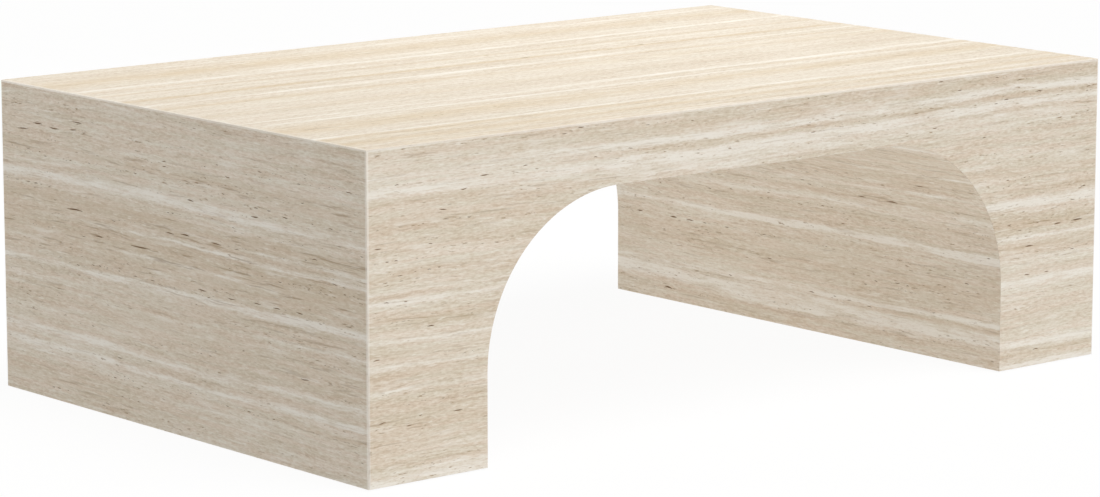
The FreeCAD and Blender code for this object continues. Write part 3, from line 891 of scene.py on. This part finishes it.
# How far each pattern sways the ground's tone, with a coarser grain on the top
FIBRE_REACH = 0.48
THREAD_REACH = 0.27
LAYER_TONES = (0.2, 0.8)
DRIFT_REACH = 0.2
MOTTLE_REACH = 0.3
TOP_GRAIN = 1.5
# Strengths of the marks, and what a pattern's least and greatest value make of them
TAN_BY_LAYER = (0.1, 2)
TAN_BY_FEATHER = (0.3, 1.3)
TAN_STRENGTH = 0.5
MOST_TAN = 0.85
VEIN_BY_RAGGED = (-0.1, 2.1)
MOST_WHITE = 0.78
WISP_STRENGTH = 0.5
CHIP_STRENGTH = 0.5
LINE_BY_TAN = (0.2, 0.75)
PIT_BY_LAYER = (0.4, 1.4)
# How strongly the painted highlight covers the eased outer edges
ARRIS_HIGHLIGHT_STRENGTH = 0.5
STONE_ROUGHNESS = (0.38, 0.62)
PIT_ROUGHNESS = 0.3
STONE_SWELL = 0.6
STONE_RELIEF = 0.12 * MM
STONE_SPECULAR = 0.35
# Where each stone's pattern starts and ends across the veins
SPANS = {
    "top": (0, 2 * half_depth),
    **dict.fromkeys(("front", "back", "left_end", "right_end"), (0, table_height)),
    "right_lining": (0, crown_start),
    "crown": (crown_start, crown_end),
    "left_lining": (crown_end, lining_end),
}


def peaks(features, low, high):
    """Stops of a ramp that rises to each feature's strength and is nought between them."""
    features = [(across, half * VEIN_SPREAD, strength) for across, half, strength in features]
    stops = {across + side * half for across, half, _ in features for side in (-1, 0, 1)}
    found = []
    for stop in sorted(stops):
        level = max(strength * max(0, 1 - abs(stop - across) / half) for across, half, strength in features)
        share = (stop * MM - low) / (high - low)
        if 0 <= share <= 1:
            found.append((share, (level, level, level, 1)))
    return found


class Grain:
    """The beds of one stone: its features lie along them and wander and ripple with them."""

    def __init__(self, nodes, stone, number):
        self.nodes = nodes
        self.stone = stone
        self.shift = tuple(number * step for step in STONE_SHIFT)
        place = nodes.attribute("grain", "Vector")
        split = nodes.add("SeparateXYZ", {0: place})
        along, bed = split[0], split[1]
        for wave, reach in BED_WAVES:
            bed = nodes.math("ADD", bed, nodes.sway(nodes.noise(place, self.shift, *wave), reach * MM))
        self.place = nodes.add("CombineXYZ", {0: along, 1: bed})[0]
        self.share = nodes.map_line(bed, *SPANS[stone], 0, 1)
        fork = nodes.noise(place, self.shift, *FORK)
        self.station = nodes.math("ADD", along, nodes.sway(fork, FORK_REACH))

    def pattern(self, name):
        shift = self.shift[::-1] if name in TURNED else self.shift
        return self.nodes.noise(self.place, shift, *PATTERNS[name])

    def risen(self, name):
        return self.nodes.rise(self.pattern(name), *RISES[name])

    def columns(self, table):
        """The features of each column, merging into those of the next along the face."""
        columns = table[self.stone]
        places = list(columns)
        stops = [peaks(features, *SPANS[self.stone]) for features in columns.values()]
        blended, *others = [self.nodes.ramp(self.share, found) for found in stops]
        for start, end, level in zip(places, places[1:], others):
            share = self.nodes.rise(self.station, start * MM, end * MM)
            blended = self.nodes.blend(share, blended, level)
        return blended


def stone_ground(nodes, grain, layer, mottle):
    """The beige ground: fine fibres and broader layers, here rosier and there greyer."""
    on_top = grain.stone == "top"
    fine = TOP_GRAIN if on_top else 1
    hue = nodes.rise(grain.pattern("hue"), *RISES["top_hue" if on_top else "hue"])
    tone = nodes.math(
        "ADD",
        nodes.sway(grain.pattern("fibre"), FIBRE_REACH * fine),
        nodes.sway(grain.pattern("thread"), THREAD_REACH),
        nodes.spread(layer, *LAYER_TONES),
        nodes.sway(grain.pattern("drift"), DRIFT_REACH),
        nodes.sway(mottle, MOTTLE_REACH * fine),
    )
    rose = nodes.ramp(tone, linear_stops(GROUND_STOPS, ROSE_GROUND))
    reed = nodes.ramp(tone, linear_stops(GROUND_STOPS, REED_GROUND))
    return nodes.blend(hue, rose, reed)


def add_tan_beds(nodes, grain, colour, tans, layer, feather):
    """Tan beds, fuller and fainter along the layers."""
    by_layer = nodes.spread(layer, *TAN_BY_LAYER)
    by_feather = nodes.spread(feather, *TAN_BY_FEATHER)
    share = nodes.math("MINIMUM", nodes.multiply(tans, by_layer, by_feather, TAN_STRENGTH), MOST_TAN)
    return nodes.blend(share, colour, linear(TOP_TAN if grain.stone == "top" else TAN))


def add_white_veins(nodes, grain, colour, feather, mottle):
    """White veins made of feathered strands that come and go, and wisps that run anywhere."""
    by_ragged = nodes.spread(grain.pattern("ragged"), *VEIN_BY_RAGGED)
    ragged = nodes.multiply(grain.columns(WHITE_VEINS), by_ragged)
    strand = nodes.rise(feather, *RISES["strand"])
    fleck = nodes.rise(mottle, *RISES["fleck"])
    veins = nodes.multiply(nodes.rise(ragged, *RISES["vein"]), grain.risen("cloud"), strand, fleck)
    wisps = nodes.multiply(grain.risen("wisp"), strand, WISP_STRENGTH)
    chips = nodes.multiply(grain.risen("chip"), CHIP_STRENGTH)
    for share in (nodes.math("MINIMUM", veins, MOST_WHITE), wisps, chips):
        colour = nodes.blend(share, colour, linear(VEIN_WHITE))
    return colour


def add_dark_marks(nodes, grain, colour, tans):
    """Thin brown lines and specks, thickest in the tan beds."""
    line = nodes.multiply(grain.risen("line"), nodes.spread(tans, *LINE_BY_TAN))
    dash = nodes.multiply(grain.risen("dash"), grain.risen("gather"))
    colour = nodes.blend(line, colour, linear(BROWN))
    return nodes.blend(dash, colour, linear(BROWN)), dash


def make_stone(stone, number):
    """Travertine with beds, white veins, fine fibres, brown lines and specks, all along the grain."""
    nodes = Nodes(bpy.data.materials.new("travertine_" + stone))
    grain = Grain(nodes, stone, number)
    layer, mottle, feather = (grain.pattern(name) for name in ("layer", "mottle", "feather"))
    tans = grain.columns(TAN_BEDS)
    colour = stone_ground(nodes, grain, layer, mottle)
    colour = add_tan_beds(nodes, grain, colour, tans, layer, feather)
    colour = add_white_veins(nodes, grain, colour, feather, mottle)
    colour, dash = add_dark_marks(nodes, grain, colour, tans)

    # The pits, and a painted highlight: a paler colour laid along the eased outer edges
    dark = nodes.attribute("dark")
    pit_share = nodes.multiply(nodes.rise(dark, *RISES["pit"]), nodes.spread(layer, *PIT_BY_LAYER))
    colour = nodes.blend(pit_share, colour, linear(PIT_BROWN))
    highlight_share = nodes.multiply(nodes.attribute("arris"), ARRIS_HIGHLIGHT_STRENGTH)
    colour = nodes.blend(highlight_share, colour, linear(ARRIS_HIGHLIGHT))

    pit_roughness = nodes.multiply(dark, PIT_ROUGHNESS)
    roughness = nodes.math("ADD", nodes.spread(feather, *STONE_ROUGHNESS), pit_roughness)
    height = nodes.math("SUBTRACT", nodes.sway(mottle, STONE_SWELL), dash)
    nodes.finish(colour, roughness, height, STONE_RELIEF, {"Specular IOR Level": STONE_SPECULAR})
    return nodes.owner


STONES = {name: make_stone(name, number) for number, name in enumerate(SPANS, 1)}
STONE_OF_FACE = {
    "right_liner": "right_lining",
    "right_curve": "right_lining",
    "soffit": "crown",
    "left_curve": "left_lining",
    "left_liner": "left_lining",
}
for face, panel in PANELS.items():
    stone = STONES[STONE_OF_FACE.get(face, face)]
    build_slab(panel, make_pits(face, panel), stone, face + "_stone")


# The carcass, feet and screws keep their own shapes and get their own finishes

PLY_LIGHT = (214, 184, 140)
PLY_DARK = (176, 138, 94)
PLY_GLUE = (120, 88, 58)
PLASTIC = (46, 44, 42)
PLASTIC_WORN = (72, 69, 66)
STEEL = (168, 168, 172)
STEEL_DULL = (128, 127, 130)
# Their patterns: shift, scales along and across, detail and roughness
PLY_FIGURE = ((1, 2, 3), 3, 60, 5, 0.6)
PLY_PORE = ((4, 5, 6), 18, 700, 3, 0.6)
PLASTIC_GRAIN = ((1, 1, 1), 900, 900, 2, 0.5)
PLASTIC_SCUFF = ((2, 3, 4), 60, 420, 4, 0.6)
STEEL_BRUSHED = ((5, 1, 2), 400, 2600, 3, 0.5)
PLY_STOPS = (0.3, 0.62)
PORE_RISE = (0.55, 0.7, 0, 0.45)
WORN_RISE = (0.55, 0.75)
PLY_ROUGHNESS = (0.62, 0.78)
PLASTIC_ROUGHNESS = (0.45, 0.7)
STEEL_ROUGHNESS = (0.28, 0.5)
PLY_RELIEF = 0.1 * MM
PLASTIC_RELIEF = 0.05 * MM
STEEL_RELIEF = 0.02 * MM


def new_finish(name):
    """The nodes of a new material, and the place on the object."""
    nodes = Nodes(bpy.data.materials.new(name))
    return nodes, nodes.add("TexCoord", {})["Object"]


def make_plywood():
    """Birch plywood with long grain and fine pores."""
    nodes, place = new_finish("plywood")
    figure = nodes.noise(place, *PLY_FIGURE)
    pore = nodes.noise(place, *PLY_PORE)
    colour = nodes.ramp(figure, linear_stops(PLY_STOPS, (PLY_DARK, PLY_LIGHT)))
    colour = nodes.blend(nodes.rise(pore, *PORE_RISE), colour, linear(PLY_GLUE))
    nodes.finish(colour, nodes.spread(figure, *PLY_ROUGHNESS), pore, PLY_RELIEF)
    return nodes.owner


def make_plastic():
    """Moulded plastic, scuffed where it slides."""
    nodes, place = new_finish("glide_plastic")
    grain = nodes.noise(place, *PLASTIC_GRAIN)
    worn = nodes.rise(nodes.noise(place, *PLASTIC_SCUFF), *WORN_RISE)
    colour = nodes.blend(worn, linear(PLASTIC), linear(PLASTIC_WORN))
    nodes.finish(colour, nodes.spread(worn, *PLASTIC_ROUGHNESS), grain, PLASTIC_RELIEF)
    return nodes.owner


def make_steel():
    """Steel with fine brushed lines."""
    nodes, place = new_finish("screw_steel")
    brushed = nodes.noise(place, *STEEL_BRUSHED)
    colour = nodes.blend(brushed, linear(STEEL_DULL), linear(STEEL))
    nodes.finish(colour, nodes.spread(brushed, *STEEL_ROUGHNESS), brushed, STEEL_RELIEF, {"Metallic": 1})
    return nodes.owner


FINISHES = {"plywood": make_plywood(), "glide_plastic": make_plastic(), "screw_steel": make_steel()}
for part in frame["record"]["subparts"]:
    if part["material_slot"] in FINISHES:
        for slot in frame["nodes"][part["node"]].material_slots:
            slot.material = FINISHES[part["material_slot"]]


# A plain white floor that keeps a faint shadow, under soft light from above and the front

FLOOR_HALF = 40
FLOOR_COLOUR = (250, 250, 249)
FLOOR_GLOW = 0.8
FLOOR_WHITE = 0.92
WORLD_COLOUR = (255, 249, 241)
GLOW_COLOUR = (251, 252, 254)
WORLD_LIGHT = 0.22
WHITE = (1, 1, 1, 1)
# Lamps: kind, place, aim and settings
LAMPS = {
    "key": ("SUN", (0.1, -0.5, 1), (0, 0, 0), {"energy": 2.36, "angle": math.radians(50)}),
    "fill": ("AREA", (0.45, 0.25, 1.5), (0.25, 0, 0.4), {"energy": 4.3, "size": 1}),
    "back": ("AREA", (-0.7, 2.6, 0.9), (0.1, 0, 0.2), {"energy": 20, "size": 1.8}),
}


def seen_directly(nodes):
    """One for a ray from the camera, a reflection or glass, and nought for light on the object."""
    path = nodes.add("LightPath", {})
    return nodes.math("MAXIMUM", path["Is Camera Ray"], path["Is Glossy Ray"], path["Is Transmission Ray"])


def make_floor():
    """A wide floor that glows a little, so that only a faint shadow stays."""
    mesh = bpy.data.meshes.new("floor")
    side = FLOOR_HALF
    corners = [(-side, -side, 0), (side, -side, 0), (side, side, 0), (-side, side, 0)]
    mesh.from_pydata(corners, [], [(0, 1, 2, 3)])
    nodes = Nodes(bpy.data.materials.new("floor"))
    diffuse = nodes.add("BsdfDiffuse", {"Color": linear(FLOOR_COLOUR)})[0]
    seen = seen_directly(nodes)
    glow = nodes.blend(seen, linear(GLOW_COLOUR), WHITE)
    glowing = nodes.add("Emission", {"Color": glow})[0]
    share = nodes.spread(seen, FLOOR_GLOW, FLOOR_WHITE)
    mixed = nodes.add("MixShader", {0: share, 1: diffuse, 2: glowing})[0]
    nodes.add("OutputMaterial", {0: mixed})
    mesh.materials.append(nodes.owner)
    floor = put_in_scene("floor", mesh)


def make_world():
    """An even sky, white where the camera or a reflection sees it."""
    world = bpy.data.worlds.new("studio")
    bpy.context.scene.world = world
    nodes = Nodes(world)
    seen = seen_directly(nodes)
    sky = nodes.blend(seen, linear(WORLD_COLOUR), WHITE)
    strength = nodes.spread(seen, WORLD_LIGHT, 1)
    background = nodes.add("Background", {"Color": sky, "Strength": strength})[0]
    nodes.add("OutputWorld", {0: background})


def make_lamp(name, kind, place, aim, settings):
    """A lamp that points from its place at its aim."""
    light = bpy.data.lights.new(name, kind)
    for setting, value in settings.items():
        setattr(light, setting, value)
    lamp = put_in_scene(name, light)
    lamp.location = place
    lamp.rotation_euler = (Vector(place) - Vector(aim)).to_track_quat("Z", "Y").to_euler()


# The camera stands where the photograph's did, in front of the left corner and a little above

CAMERA_PLACE = (-3.5686, -4.2261, 1.1566)
CAMERA_TURN = 40.052
CAMERA_DIP = 10.182
CAMERA_LENS = 140.85
CAMERA_SENSOR = 36


def make_camera():
    data = bpy.data.cameras.new("camera")
    data.lens = CAMERA_LENS
    data.sensor_width = CAMERA_SENSOR
    camera = put_in_scene("camera", data)
    camera.location = CAMERA_PLACE
    camera.rotation_euler = (math.radians(90 - CAMERA_DIP), 0, math.radians(-CAMERA_TURN))
    bpy.context.scene.camera = camera


make_floor()
make_world()
for name, lamp in LAMPS.items():
    make_lamp(name, *lamp)
make_camera()
bpy.context.scene.view_settings.view_transform = "Standard"
